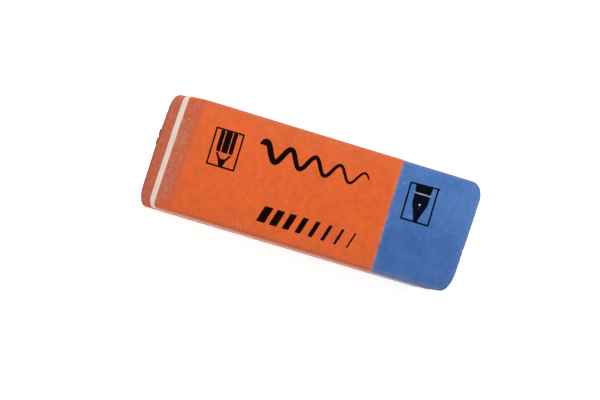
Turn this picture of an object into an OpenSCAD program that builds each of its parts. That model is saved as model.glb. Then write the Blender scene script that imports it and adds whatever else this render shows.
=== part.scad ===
// Pencil and ink eraser: a flat rubber block with slanted ends, bonded from coloured layers over
// a white core. A soft red compound fills most of its length, and a harder blue one the rest.
// Millimetres. +X points to the blue end and +Z up. The origin lies under the middle of the block.

/* [Block] */
// Length of the top or bottom face along the block, before wear
face_l = 52.1; // [36:0.1:80]
// Width across the underside
block_w = 21; // [14:0.5:30]
// How much further each long side stands out at the underside than at the top
side_draft = 0.2; // [0:0.05:0.6]
// How much the far side draws in towards the blue tip
far_taper = 0.3; // [0:0.05:0.6]
// How far each end cut leans towards the blue end, from the underside to the top
end_lean = 6.3; // [1:0.1:12]
// Turn of the red end's cut across the width, in degrees
red_turn = 1.6; // [0:0.1:4]
// Turn of the blue end's cut across the width, in degrees
blue_turn = 2.1; // [0:0.1:4]

/* [Layers] */
// Thickness of the lower coloured layer
lower_t = 3.4; // [2:0.1:6]
// Thickness of the white core
core_t = 1.3; // [0.6:0.1:4]
// Thickness of the upper coloured layer
upper_t = 3.3; // [2:0.1:6]
// Length of blue rubber on the top face, from the seam to the blue end's tip, before wear
blue_l = 15; // [8:0.2:24]

/* [Wear] */
// Radius of the softened edges
edge_r = 0.4; // [0.2:0.05:0.8]
// Radius of the rubbed ridge between the top face and the red slant
red_ridge_r = 2.2; // [1:0.1:3]
// Radius of the ridge between the underside and the blue undercut
blue_ridge_r = 1.2; // [1:0.1:3]
// Rub at the red tip's far corner, along the block and across it
red_far_rub = [1.4, 2.8]; // [1:0.1:5]
// Rub at the red tip's near corner, along the block and across it
red_near_rub = [1.5, 3.3]; // [1:0.1:5]
// Rub of the red end's far corner at the height of the core, along the block and across it
red_far_core_rub = [0.5, 0.7]; // [0.4:0.1:3]
// Rub of the red end's near corner at the height of the core, along the block and across it
red_near_core_rub = [0.7, 1.2]; // [0.4:0.1:3]
// How far the red tip's edge bows out between its corners
red_tip_bow = 0.15; // [0:0.05:1]
// How far towards the far side of mid width the bow reaches furthest
red_bow_y = 2.1; // [0:0.1:3]
// Reach of the bow's ring, along the block and across it
red_bow_rub = [2.6, 3.8]; // [1:0.1:4]
// Rub at the blue tip's far corner, along the block and across it
blue_far_rub = [2.2, 3.1]; // [1:0.1:5]
// Rub at the blue tip's near corner, along the block and across it
blue_near_rub = [2, 4.6]; // [1:0.1:5]
// Radius of the nicks torn from the tips
nick_r = 0.5; // [0.3:0.1:1]
// Depth of the nicks
nick_depth = 0.15; // [0.05:0.05:0.25]

/* [Hidden] */
$fn = 32;

RED = [0.87, 0.41, 0.22];
BLUE = [0.29, 0.44, 0.69];
WHITE = [0.93, 0.86, 0.82];

block_t = lower_t + core_t + upper_t;
block_l = face_l + end_lean;
core_z = lower_t;
upper_z = core_z + core_t;

// The end cuts lean by this much for each millimetre of height. A round of radius 1 that touches
// such a cut has its centre cut_in from it, measured along the block. Where it touches the face
// beyond the cut too, its centre lies this far in from their sharp corner: tip_in at the block's
// thin tips, and ridge_in at its blunt ridges.
lean = end_lean / block_t;
cut_in = sqrt(1 + lean * lean);
tip_in = cut_in + lean;
ridge_in = cut_in - lean;

// Sharp corners of the side profile at mid width: two tips and two ridges
red_tip_x = -block_l / 2;
red_ridge_x = red_tip_x + end_lean;
blue_tip_x = block_l / 2;
blue_ridge_x = blue_tip_x - end_lean;
seam_x = blue_tip_x - blue_l;

// The nicks' places along each tip
red_nicks_y = [2.8, 0.9];
blue_nicks_y = [-2.3];

// How far each long side lies from the middle of the block at height z
function side_y(z) = block_w / 2 - side_draft * z / block_t;

// Radius of the round section of a ring that reaches out this far: the edges' radius, or less
// where the ring has no room for it
function section_r(reach) = min(edge_r, reach / 2);

// A level ring of round section, which reaches out by rub.x along the block and rub.y across it
module ring(rub) {
    r = section_r(rub.y);
    scale([rub.x / rub.y, 1, 1]) rotate_extrude() translate([rub.y - r, 0]) circle(r);
}

// Part of an end's skin: a level ring that touches the end cut, set_back in from it. Its middle
// lies rise away from the tip's face, or as near to it as the section lets it. That face is the
// underside at the red end and the top at the blue one. inward is 1 at the red end and -1 at the
// blue end.
module cut_ring(tip_x, y, rise, turn, inward, rub, set_back) {
    r = section_r(rub.y);
    mid_rise = max(rise, r);
    from_tip = mid_rise * lean + r * (cut_in - 1) + rub.x + set_back;
    z = inward > 0 ? mid_rise : block_t - mid_rise;
    translate([tip_x + y * tan(turn) + inward * from_tip, y, z]) ring(rub);
}

// One end of a ridge: an upright ring, which rounds the ridge and ends it at the long side
module ridge_ring(ridge_x, y, z, turn, inward, ridge_r) {
    x = ridge_x + y * tan(turn) + inward * ridge_r * ridge_in;
    translate([x, y, z]) rotate([90, 0, 0]) ring([ridge_r, ridge_r]);
}

// The slanted red end: its worn tip on the underside, its corners, which are sharper at the
// core's height, and its rubbed ridge on the top face
module red_end() {
    core_mid_z = core_z + core_t / 2;
    ridge_z = block_t - red_ridge_r;
    tip_y = side_y(edge_r);
    core_y = side_y(core_mid_z);
    ridge_y = side_y(block_t) - section_r(red_ridge_r);
    cut_ring(red_tip_x, tip_y - red_far_rub.y, 0, red_turn, 1, red_far_rub, red_tip_bow);
    cut_ring(red_tip_x, red_bow_y, 0, red_turn, 1, red_bow_rub, 0);
    cut_ring(red_tip_x, red_near_rub.y - tip_y, 0, red_turn, 1, red_near_rub, red_tip_bow);
    cut_ring(red_tip_x, core_y - red_far_core_rub.y, core_mid_z, red_turn, 1, red_far_core_rub, 0);
    cut_ring(red_tip_x, red_near_core_rub.y - core_y, core_mid_z, red_turn, 1, red_near_core_rub, 0);
    ridge_ring(red_ridge_x, ridge_y, ridge_z, red_turn, 1, red_ridge_r);
    ridge_ring(red_ridge_x, -ridge_y, ridge_z, red_turn, 1, red_ridge_r);
}

// The undercut blue end: its worn tip on the top face, and its ridge on the underside
module blue_end() {
    tip_y = side_y(block_t - edge_r);
    ridge_y = side_y(2 * blue_ridge_r) - section_r(blue_ridge_r);
    far_tip_y = tip_y - far_taper - blue_far_rub.y;
    cut_ring(blue_tip_x, far_tip_y, 0, blue_turn, -1, blue_far_rub, 0);
    cut_ring(blue_tip_x, blue_near_rub.y - tip_y, 0, blue_turn, -1, blue_near_rub, 0);
    ridge_ring(blue_ridge_x, ridge_y - far_taper, blue_ridge_r, blue_turn, -1, blue_ridge_r);
    ridge_ring(blue_ridge_x, -ridge_y, blue_ridge_r, blue_turn, -1, blue_ridge_r);
}

// The small hollows where crumbs have torn away from a tip
module nicks(tip_x, z, turn, inward, places) {
    for (y = places) {
        x = tip_x + y * tan(turn) + inward * (edge_r * (tip_in - 1) + nick_depth - nick_r);
        translate([x, y, z]) sphere(nick_r);
    }
}

// The whole block with its wear, stretched between the rings at its two ends
module worn_block() {
    difference() {
        hull() {
            red_end();
            blue_end();
        }
        nicks(red_tip_x, edge_r, red_turn, 1, red_nicks_y);
        nicks(blue_tip_x, block_t - edge_r, blue_turn, -1, blue_nicks_y);
    }
}

// The part of the block between two heights and two places along it
module layer(z, t, from_x, to_x) {
    intersection() {
        worn_block();
        translate([from_x, -block_w, z]) cube([to_x - from_x, 2 * block_w, t]);
    }
}

module red_upper_layer() {
    color(RED) layer(upper_z, upper_t, -block_l, seam_x);
}

module blue_upper_layer() {
    color(BLUE) layer(upper_z, upper_t, seam_x, block_l);
}

module white_core_layer() {
    color(WHITE) layer(core_z, core_t, -block_l, block_l);
}

module red_lower_layer() {
    color(RED) layer(0, lower_t, -block_l, seam_x);
}

module blue_lower_layer() {
    color(BLUE) layer(0, lower_t, seam_x, block_l);
}

red_upper_layer();
blue_upper_layer();
white_core_layer();
red_lower_layer();
blue_lower_layer();
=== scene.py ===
"""Visual model of a slanted pencil and ink eraser, worn at its corners and its rubbed end.

The block is bonded from a soft red compound, a harder blue one and a white core between two coloured
layers. Lengths are in millimetres in the CAD frame, and link_mesh makes metres of them: +X runs
towards the blue end, +Y to the far long side and +Z up to the printed face.
"""

import logging
import math
from dataclasses import dataclass, replace
from enum import Enum
from typing import Iterable, Optional, Sequence

import bmesh
import bpy
import numpy as np
from mathutils import Matrix, Vector, noise
from mathutils.bvhtree import BVHTree


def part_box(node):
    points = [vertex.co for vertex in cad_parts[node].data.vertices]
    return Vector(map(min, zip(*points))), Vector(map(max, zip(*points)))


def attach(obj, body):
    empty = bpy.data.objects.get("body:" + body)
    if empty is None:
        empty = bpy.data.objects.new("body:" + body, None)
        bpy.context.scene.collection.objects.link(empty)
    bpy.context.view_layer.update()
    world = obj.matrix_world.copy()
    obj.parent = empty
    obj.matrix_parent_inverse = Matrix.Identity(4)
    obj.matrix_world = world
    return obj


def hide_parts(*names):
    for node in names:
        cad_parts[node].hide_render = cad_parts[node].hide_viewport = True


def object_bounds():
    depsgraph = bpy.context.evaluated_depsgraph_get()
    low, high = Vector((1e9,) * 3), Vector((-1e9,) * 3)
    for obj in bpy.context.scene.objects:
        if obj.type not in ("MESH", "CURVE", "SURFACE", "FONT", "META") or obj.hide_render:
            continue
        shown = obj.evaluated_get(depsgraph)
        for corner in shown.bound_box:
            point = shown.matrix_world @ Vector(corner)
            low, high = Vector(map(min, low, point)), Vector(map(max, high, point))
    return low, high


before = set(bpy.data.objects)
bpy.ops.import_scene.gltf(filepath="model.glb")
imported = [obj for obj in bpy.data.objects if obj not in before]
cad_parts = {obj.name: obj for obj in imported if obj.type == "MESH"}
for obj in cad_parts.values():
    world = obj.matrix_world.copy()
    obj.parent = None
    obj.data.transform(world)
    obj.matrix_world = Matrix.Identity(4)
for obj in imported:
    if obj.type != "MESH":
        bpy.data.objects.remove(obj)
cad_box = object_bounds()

# Without a seed the vector noise differs at every run
noise.seed_set(7)

LOG = logging.getLogger("eraser")
MM = 0.001
CAD_LOW, CAD_HIGH = (corner / MM for corner in cad_box)
BODY = "root"
OUT_LAYER = "outward"

# The upward share of a skin's outward direction, above which it faces up or below which it faces down
FACES_UP = 0.5
FACES_DOWN = -0.9

# How far the noise of each stain and each kind of speck is moved aside, in metres: first and step
STAIN_START = (0.0, 0.0)
STAIN_STEP = (0.1, 0.07)
SPECK_START = (0.3, 0.2)
SPECK_STEP = (0.1, 0.0)

Pair = tuple[float, float]
Triple = tuple[float, float, float]
Point = Pair
Loop = list[Point]


class Compound(Enum):
    """What a piece is made of, by its material slot in the record."""

    RED = "red_rubber"
    BLUE = "blue_rubber"
    WHITE = "white_rubber"
    INK = "print_ink"


# ---- Small helpers ----


def linear(tone: str) -> tuple[float, float, float, float]:
    """Turns a written colour into the linear one that the shaders take.

    Args:
        tone: The colour as "#rrggbb".

    Returns:
        Red, green, blue and an alpha of 1.
    """
    parts = [int(tone[i : i + 2], 16) / 255 for i in (1, 3, 5)]
    r, g, b = (p / 12.92 if p <= 0.04045 else ((p + 0.055) / 1.055) ** 2.4 for p in parts)
    return r, g, b, 1.0


def ease(x: np.ndarray, low: float, high: float) -> np.ndarray:
    """Rises smoothly from 0 at low to 1 at high, or falls where high is the smaller."""
    t = np.clip((x - low) / (high - low), 0.0, 1.0)
    return t * t * (3.0 - 2.0 * t)


def fade(gap: np.ndarray, band: float) -> np.ndarray:
    """Falls from 1 where the gap is closed, by a factor e for each band of it."""
    return np.exp(-np.maximum(gap, 0.0) / band)


@dataclass(frozen=True)
class Ripple:
    """Smooth unevenness: how far it reaches, how far apart its waves lie, and its own seed."""

    reach: float
    size: float | Triple
    seed: float

    def at(self, points: np.ndarray) -> np.ndarray:
        """The ripple's value at each point, from about -reach to reach."""
        scaled = points / np.asarray(self.size) + self.seed
        return self.reach * np.fromiter(map(noise.noise, scaled.tolist()), float, len(scaled))


def node_box(node: str) -> list[Vector]:
    """The lowest and the highest corner of one of the CAD's nodes."""
    return [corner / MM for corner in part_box(node)]


def skin_of(pieces: Iterable[bpy.types.Object]) -> BVHTree:
    """Joins the meshes of some pieces into one skin that points can be laid on.

    Args:
        pieces: The pieces, whose meshes are in metres and whose objects sit at the origin.

    Returns:
        The skin.
    """
    points: list[Vector] = []
    faces: list[tuple[int, ...]] = []
    for piece in pieces:
        start = len(points)
        points += [v.co / MM for v in piece.data.vertices]
        faces += [tuple(start + i for i in p.vertices) for p in piece.data.polygons]
    return BVHTree.FromPolygons(points, faces)


def link_mesh(name: str, bm: bmesh.types.BMesh) -> bpy.types.Object:
    """Makes an object at the origin, in metres, from a bmesh and frees the bmesh.

    Args:
        name: The piece's name.
        bm: Its mesh in the row frame.

    Returns:
        The new object, in the scene.
    """
    bm.transform(Matrix.Scale(MM, 4))
    mesh = bpy.data.meshes.new(name)
    bm.to_mesh(mesh)
    bm.free()
    piece = bpy.data.objects.new(name, mesh)
    bpy.context.scene.collection.objects.link(piece)
    return piece


# ---- Finishes ----


class Mask(Enum):
    """Where a stain, painted shade or painted sheen lies: everywhere, or by one of the values kept on the
    block's points.
    """

    ALL = ""
    EDGE = "edge"
    RUB = "rub"
    DUST = "dust"
    # Partly dust and graphite, partly painted shade: a darker band along the upper edge of the rubbed red
    # end
    RIDGE_DIRT_AND_SHADE = "ridge"
    # Painted shade: darker towards the floor, and the top face darker towards the near long side
    FLOOR_SHADE_NEAR_DARKENING = "grime"
    TIP = "tip"
    SEAM = "seam"
    BOND = "bond"
    CREASE = "crease"
    # Painted sheen: up-facing faces change tone across the block, most towards the far long side
    SHEEN_RAMP = "haze"
    FAR = "far"
    # Painted sheen: a greyish haze over the top face along the far long side
    FAR_SHEEN = "drift"


@dataclass(frozen=True)
class Cover:
    """A tone laid over the rubber, and how strongly it shows."""

    tone: str
    share: float


@dataclass(frozen=True)
class Stain(Cover):
    """A cover that lies where a mask says, more or less broken up by noise. Most are stains; a few paint
    shade and sheen.

    waves holds how many waves that noise has to the metre along each axis.
    """

    mask: Mask = Mask.ALL
    broken: float = 1.0
    waves: Triple = (1100.0, 1100.0, 1100.0)


@dataclass(frozen=True)
class Specks(Cover):
    """Scattered specks, one at most in each of the cells that lie along a metre.

    held is the share of the cells that hold one, and radius is its own, in cells.
    """

    cells: float
    held: float
    radius: float = 0.2


@dataclass(frozen=True)
class Scratch(Cover):
    """A fine line in the skin of the printed face, from one point to another."""

    start: Point
    end: Point
    reach: float = 0.1
    broken: float = 0.5


NOISE_ROUGHNESS = 0.58


class NodeSheet:
    """A node tree being filled, with short ways to add and join its nodes."""

    def __init__(self, tree: bpy.types.NodeTree) -> None:
        """Starts on an emptied tree."""
        self.tree = tree
        tree.nodes.clear()

    def add(self, kind: str, inputs: Optional[dict] = None, **settings: object) -> bpy.types.Node:
        """Adds a node.

        Args:
            kind: The node's type, without "ShaderNode".
            inputs: A value or a socket for each input, by its name or number.
            settings: Its other properties.

        Returns:
            The new node.
        """
        node = self.tree.nodes.new("ShaderNode" + kind)
        for name, value in settings.items():
            setattr(node, name, value)
        for key, value in (inputs or {}).items():
            if isinstance(value, bpy.types.NodeSocket):
                self.tree.links.new(value, node.inputs[key])
            else:
                node.inputs[key].default_value = value
        return node

    def effect(self, tree: bpy.types.NodeTree, inputs: dict) -> bpy.types.NodeSocket:
        """Places a shared effect and gives what it puts out."""
        return self.add("Group", inputs, node_tree=tree).outputs[0]

    def kept(self, mask: Mask) -> object:
        """One of the values kept on the points, or 1 where the mask is everywhere."""
        return 1.0 if mask is Mask.ALL else self.add("Attribute", attribute_name=mask.value).outputs["Fac"]

    def noise(self, where: object, scale: float, detail: float = 2.0) -> bpy.types.NodeSocket:
        """A noise texture's value, from 0 to 1, of scale waves to the metre."""
        inputs = {"Vector": where, "Scale": scale, "Detail": detail, "Roughness": NOISE_ROUGHNESS}
        return self.add("TexNoise", inputs).outputs["Fac"]

    def span(self, value: object, low: float, high: float, to_low: object = 0.0) -> bpy.types.NodeSocket:
        """A value's range from low to high, spread smoothly from to_low to 1 and held there."""
        inputs = {"Value": value, "From Min": low, "From Max": high, "To Min": to_low}
        return self.add("MapRange", inputs, interpolation_type="SMOOTHSTEP").outputs["Result"]

    def maths(self, operation: str, a: object, b: object) -> bpy.types.NodeSocket:
        """The result of one sum on two values, held from 0 to 1."""
        return self.add("Math", {0: a, 1: b}, operation=operation, use_clamp=True).outputs[0]

    def broken(self, mask: object, patches: object, share: object) -> bpy.types.NodeSocket:
        """A mask that loses a share of itself between the patches."""
        missing = self.maths("MULTIPLY", self.maths("SUBTRACT", 1.0, patches), share)
        return self.maths("MULTIPLY", mask, self.maths("SUBTRACT", 1.0, missing))

    def vectors(self, operation: str, a: object, b: object) -> bpy.types.NodeSocket:
        """The vector that one sum on two vectors gives."""
        return self.add("VectorMath", {0: a, 1: b}, operation=operation).outputs["Vector"]

    def measure(self, operation: str, a: object, b: object) -> bpy.types.NodeSocket:
        """The value that one sum on two vectors gives."""
        return self.add("VectorMath", {0: a, 1: b}, operation=operation).outputs["Value"]

    def blend(self, share: object, under: object, over: object) -> bpy.types.NodeSocket:
        """Two colours mixed by a share."""
        return self.add("Mix", {0: share, 6: under, 7: over}, data_type="RGBA").outputs[2]

    def lay(self, cover: Cover, mask: object, under: object) -> bpy.types.NodeSocket:
        """A colour with a cover's tone laid over it where a mask says."""
        return self.blend(self.maths("MULTIPLY", mask, cover.share), under, linear(cover.tone))

    def moved(self, where: object, start: Pair, step: Pair, index: int) -> bpy.types.NodeSocket:
        """Coordinates moved aside, so that the covers of one kind don't lie alike."""
        aside = (start[0] + step[0] * index, start[1] + step[1] * index, 0)
        return self.add("Mapping", {"Vector": where, "Location": aside}).outputs["Vector"]


def new_effect(name: str, values: dict[str, object]) -> tuple[NodeSheet, dict]:
    """Starts a shared effect.

    Args:
        name: The effect's name.
        values: Each value that it takes besides the coordinates, and its default.

    Returns:
        The sheet to fill, and the effect's inputs by name.
    """
    tree = bpy.data.node_groups.new(name, "ShaderNodeTree")
    sheet = NodeSheet(tree)
    tree.interface.new_socket("Coordinates", in_out="INPUT", socket_type="NodeSocketVector")
    for key, default in values.items():
        kind = "NodeSocketFloat" if isinstance(default, float) else "NodeSocketVector"
        tree.interface.new_socket(key, in_out="INPUT", socket_type=kind).default_value = default
    return sheet, {socket.name: socket for socket in tree.nodes.new("NodeGroupInput").outputs}


def end_effect(sheet: NodeSheet, output: str, value: bpy.types.NodeSocket) -> bpy.types.NodeTree:
    """Ends a shared effect with what it puts out.

    Args:
        sheet: The effect's sheet.
        output: The name of its output.
        value: The socket that holds it.

    Returns:
        The finished effect.
    """
    sheet.tree.interface.new_socket(output, in_out="OUTPUT", socket_type="NodeSocketFloat")
    sheet.tree.links.new(value, sheet.tree.nodes.new("NodeGroupOutput").inputs[output])
    return sheet.tree


# Waves to the metre of the rubber's patches and flecks, its grain and pores, the gaps in a scratch,
# and the rolls of rubbed rubber along each axis
PATCH_WAVES, FLECK_WAVES = 190, 2300
GRAIN_WAVES, PORE_WAVES, GAP_WAVES = 4200, 1200, 1700
ROLL_WAVES = (2600, 520, 2600)
# The part of a noise's range that is spread from 0 to 1
PATCH_SPAN, FLECK_SPAN = (0.3, 0.7), (0.25, 0.75)
STAIN_SPAN, GAP_SPAN = (0.38, 0.62), (0.42, 0.58)
# Where a speck and a scratch start and where they are in full, as shares of the way to their rim
SPECK_FADE, SCRATCH_FADE = (1.0, 0.4), (1.0, 0.3)
# The smallest speck, as a share of the largest
LEAST_SPECK = 0.4


@dataclass
class Effects:
    """The effects that several finishes share, each built once."""

    mottle: bpy.types.NodeTree
    stain: bpy.types.NodeTree
    specks: bpy.types.NodeTree
    scratch: bpy.types.NodeTree
    skin: bpy.types.NodeTree

    @classmethod
    def build(cls) -> "Effects":
        """Builds every shared effect."""
        return cls(cls._mottle(), cls._stain(), cls._specks(), cls._scratch(), cls._skin())

    @staticmethod
    def _mottle() -> bpy.types.NodeTree:
        """Soft patches and fine flecks of lighter and darker rubber.

        Returns:
            The effect, which takes the weight of the patches and puts out a tone from 0 to 1.
        """
        sheet, given = new_effect("rubber_mottle", {"Patch": 0.5})
        broad = sheet.span(sheet.noise(given["Coordinates"], PATCH_WAVES, 4), *PATCH_SPAN)
        fine = sheet.span(sheet.noise(given["Coordinates"], FLECK_WAVES, 3), *FLECK_SPAN)
        mixed = sheet.add("Mix", {0: given["Patch"], 2: fine, 3: broad}, data_type="FLOAT")
        return end_effect(sheet, "Tone", mixed.outputs[0])

    @staticmethod
    def _stain() -> bpy.types.NodeTree:
        """A mask broken up by noise that may run along one axis.

        Returns:
            The effect, which takes the mask, how far to break it up and the waves to the metre
            along each axis, and puts out the broken mask.
        """
        values = {"Mask": 1.0, "Broken": 0.5, "Waves": (1000.0, 1000.0, 1000.0)}
        sheet, given = new_effect("broken_stain", values)
        stretched = sheet.vectors("MULTIPLY", given["Coordinates"], given["Waves"])
        patches = sheet.span(sheet.noise(stretched, 1.0, 4), *STAIN_SPAN)
        return end_effect(sheet, "Mask", sheet.broken(given["Mask"], patches, given["Broken"]))

    @staticmethod
    def _specks() -> bpy.types.NodeTree:
        """Small scattered specks.

        Returns:
            The effect, which takes how many cells lie along a metre, the share of them that hold
            a speck and its radius in cells, and puts out the specks' mask.
        """
        sheet, given = new_effect("fine_specks", {"Cells": 1500.0, "Share": 0.03, "Radius": 0.2})
        cells = sheet.add("TexVoronoi", {"Vector": given["Coordinates"], "Scale": given["Cells"]})
        draw = sheet.add("SeparateColor", {"Color": cells.outputs["Color"]})
        chosen = sheet.maths("LESS_THAN", draw.outputs[0], given["Share"])
        radius = sheet.maths("MULTIPLY", given["Radius"], sheet.span(draw.outputs[1], 0, 1, LEAST_SPECK))
        ratio = sheet.maths("DIVIDE", cells.outputs["Distance"], radius)
        spots = sheet.maths("MULTIPLY", sheet.span(ratio, *SPECK_FADE), chosen)
        return end_effect(sheet, "Mask", spots)

    @staticmethod
    def _scratch() -> bpy.types.NodeTree:
        """A fine line from one point to another, broken into short runs.

        Returns:
            The effect, which takes the line's ends, half its width and how far to break it up, and
            puts out the line's mask.
        """
        values = {"Start": (0.0, 0.0, 0.0), "End": (0.0, 0.0, 0.0), "Reach": 0.0001, "Broken": 0.5}
        sheet, given = new_effect("hair_scratch", values)
        run = sheet.vectors("SUBTRACT", given["End"], given["Start"])
        way = sheet.vectors("SUBTRACT", given["Coordinates"], given["Start"])
        along = sheet.measure("DOT_PRODUCT", way, run)
        share = sheet.maths("DIVIDE", along, sheet.measure("DOT_PRODUCT", run, run))
        near = sheet.add("VectorMath", {0: run, "Scale": share}, operation="SCALE").outputs[0]
        ratio = sheet.maths("DIVIDE", sheet.measure("DISTANCE", way, near), given["Reach"])
        patches = sheet.span(sheet.noise(given["Coordinates"], GAP_WAVES, 2), *GAP_SPAN)
        line = sheet.broken(sheet.span(ratio, *SCRATCH_FADE), patches, given["Broken"])
        return end_effect(sheet, "Mask", line)

    @staticmethod
    def _skin() -> bpy.types.NodeTree:
        """The height of the rubber's fine skin: grain, pores, and rolls where it is rubbed.

        Returns:
            The effect, which takes the rubbed mask and puts out a height from 0 to 1.
        """
        sheet, given = new_effect("rubber_skin", {"Rub": 0.0})
        grain = sheet.noise(given["Coordinates"], GRAIN_WAVES, 3)
        pores = sheet.noise(given["Coordinates"], PORE_WAVES, 2)
        stretched = sheet.vectors("MULTIPLY", given["Coordinates"], ROLL_WAVES)
        rolls = sheet.maths("MULTIPLY", sheet.noise(stretched, 1.0, 3), given["Rub"])
        both = sheet.maths("MULTIPLY", sheet.maths("ADD", grain, pores), 0.5)
        return end_effect(sheet, "Height", sheet.maths("ADD", both, rolls))


@dataclass(frozen=True)
class Finish:
    """How a surface looks: its tones, what lies over them, and how rough its skin is."""

    name: str
    deep: str
    pale: str
    patch: float = 0.5
    stains: tuple[Stain, ...] = ()
    specks: tuple[Specks, ...] = ()
    scratches: tuple[Scratch, ...] = ()
    roughness: float = 0.62
    uneven: float = 0.06
    gloss: float = 0.2
    bump: float = 0.25
    bump_depth: float = 0.03

    def colour(self, sheet: NodeSheet, effects: Effects, where: object, tone: object) -> object:
        """Lays the stains, specks and scratches over the mottled rubber.

        Args:
            sheet: The material's sheet.
            effects: The shared effects.
            where: The coordinates on the piece.
            tone: The mottle's tone.

        Returns:
            The socket that holds the final colour.
        """
        colour = sheet.blend(tone, linear(self.deep), linear(self.pale))
        for index, stain in enumerate(self.stains):
            inputs = {
                "Coordinates": sheet.moved(where, STAIN_START, STAIN_STEP, index),
                "Mask": sheet.kept(stain.mask),
                "Broken": stain.broken,
                "Waves": stain.waves,
            }
            colour = sheet.lay(stain, sheet.effect(effects.stain, inputs), colour)
        for index, speck in enumerate(self.specks):
            inputs = {
                "Coordinates": sheet.moved(where, SPECK_START, SPECK_STEP, index),
                "Cells": speck.cells,
                "Share": speck.held,
                "Radius": speck.radius,
            }
            colour = sheet.lay(speck, sheet.effect(effects.specks, inputs), colour)
        for scratch in self.scratches:
            inputs = {
                "Coordinates": where,
                "Start": Vector((*scratch.start, CAD_HIGH.z)) * MM,
                "End": Vector((*scratch.end, CAD_HIGH.z)) * MM,
                "Reach": scratch.reach * MM,
                "Broken": scratch.broken,
            }
            colour = sheet.lay(scratch, sheet.effect(effects.scratch, inputs), colour)
        return colour

    def material(self, effects: Effects) -> bpy.types.Material:
        """Gives the finish's material, which is built the first time.

        Args:
            effects: The shared effects.

        Returns:
            The material.
        """
        if self.name in bpy.data.materials:
            return bpy.data.materials[self.name]
        mat = bpy.data.materials.new(self.name)
        mat.use_nodes = True
        sheet = NodeSheet(mat.node_tree)
        where = sheet.add("TexCoord").outputs["Object"]
        tone = sheet.effect(effects.mottle, {"Coordinates": where, "Patch": self.patch})
        height = sheet.effect(effects.skin, {"Coordinates": where, "Rub": sheet.kept(Mask.RUB)})
        depth = self.bump_depth * MM
        bump = sheet.add("Bump", {"Strength": self.bump, "Distance": depth, "Height": height})
        smooth, rough = self.roughness - self.uneven, self.roughness + self.uneven
        spread = sheet.add("MapRange", {"Value": tone, "To Min": smooth, "To Max": rough})
        inputs = {
            "Base Color": self.colour(sheet, effects, where, tone),
            "Roughness": spread.outputs["Result"],
            "Normal": bump.outputs["Normal"],
            "Specular IOR Level": self.gloss,
        }
        shader = sheet.add("BsdfPrincipled", inputs)
        sheet.add("OutputMaterial", {"Surface": shader.outputs["BSDF"]})
        return mat


# Half the width of a fan's scratches, how far they stray, and where the strays' noise is sampled
FAN_REACH = 0.08
FAN_STRAY = 0.4
FAN_START = Vector((0, 0.4, 9.1))
FAN_STEP = Vector((1.7, 0, 0))
# How far a fleck runs along and across the block, as shares of its radius
FLECK_RUN = (0.3, 0.2)


def scratch_fan(
    first: Point, run: Point, step: Point, count: int, tones: Sequence[str], share: float
) -> tuple[Scratch, ...]:
    """A row of short scratches side by side, as something gritty leaves them.

    Args:
        first: Where the first scratch starts.
        run: From a scratch's start to its end.
        step: From one scratch to the next.
        count: How many there are.
        tones: Their tones, taken in turn.
        share: How strongly they show.

    Returns:
        The scratches, each a little out of line.
    """
    found = []
    for i in range(count):
        stray = noise.noise_vector(FAN_START + FAN_STEP * i) * FAN_STRAY
        start = (first[0] + i * step[0] + stray.x, first[1] + i * step[1] + stray.y)
        end = (start[0] + run[0] + stray.y, start[1] + run[1] + stray.z)
        found.append(Scratch(tones[i % len(tones)], share, start, end, FAN_REACH))
    return tuple(found)


def flecks(tone: str, share: float, reach: float, places: Sequence[Point]) -> tuple[Scratch, ...]:
    """Single flecks on the printed face, each a very short line with reach as its radius."""
    run_x, run_y = (way * reach for way in FLECK_RUN)
    return tuple(Scratch(tone, share, (x, y), (x + run_x, y + run_y), reach, 0.0) for x, y in places)


# What lies on each rubber, in the order in which it is laid
# Wear and stains of the red, with painted shade along the rubbed end's upper edge and painted sheen along
# the far side
RED_WEAR_SHADE_AND_SHEEN = (
    Stain("#cf5b2e", 0.36, waves=(130, 160, 130)),
    Stain("#cc521e", 0.4, waves=(420, 420, 420)),
    Stain("#f07034", 0.26, waves=(900, 900, 900)),
    Stain("#e8784a", 0.14, waves=(2400, 2400, 2400)),
    # Painted sheen: a greyish haze over the red top along the far long side
    Stain("#877a5c", 0.2, Mask.FAR_SHEEN, 0.4),
    Stain("#8c7260", 0.4, Mask.FAR, 0.4),
    Stain("#a87058", 0.34, Mask.EDGE, 0.5, (1500, 1500, 1500)),
    # Partly dust and graphite, partly painted shade: a darker band along the upper edge of the rubbed red
    # end
    Stain("#b04c2c", 0.85, Mask.RIDGE_DIRT_AND_SHADE, 0.4, (1300, 500, 1300)),
    Stain("#dca890", 0.35, Mask.SEAM, 0.7),
    Stain("#e8a888", 0.5, Mask.BOND, 0.7),
)
RED_DUST = (
    Stain("#d65824", 0.92, Mask.RUB, 0.1),
    Stain("#bc4c1c", 0.45, Mask.DUST, 1.0, (320, 190, 320)),
    Stain("#b44414", 0.45, Mask.DUST, 1.0, (640, 330, 640)),
    Stain("#c65e5e", 0.58, Mask.DUST, 1.0, (460, 300, 460)),
    Stain("#b88a54", 0.36, Mask.DUST, 1.0, (560, 420, 560)),
    Stain("#dc8c68", 0.34, Mask.DUST, 1.0, (2600, 1300, 2600)),
    Stain("#9c3e10", 0.42, Mask.DUST, 1.0, (3000, 1700, 3000)),
    Stain("#7a5444", 0.4, Mask.CREASE, 0.4),
)
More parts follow.
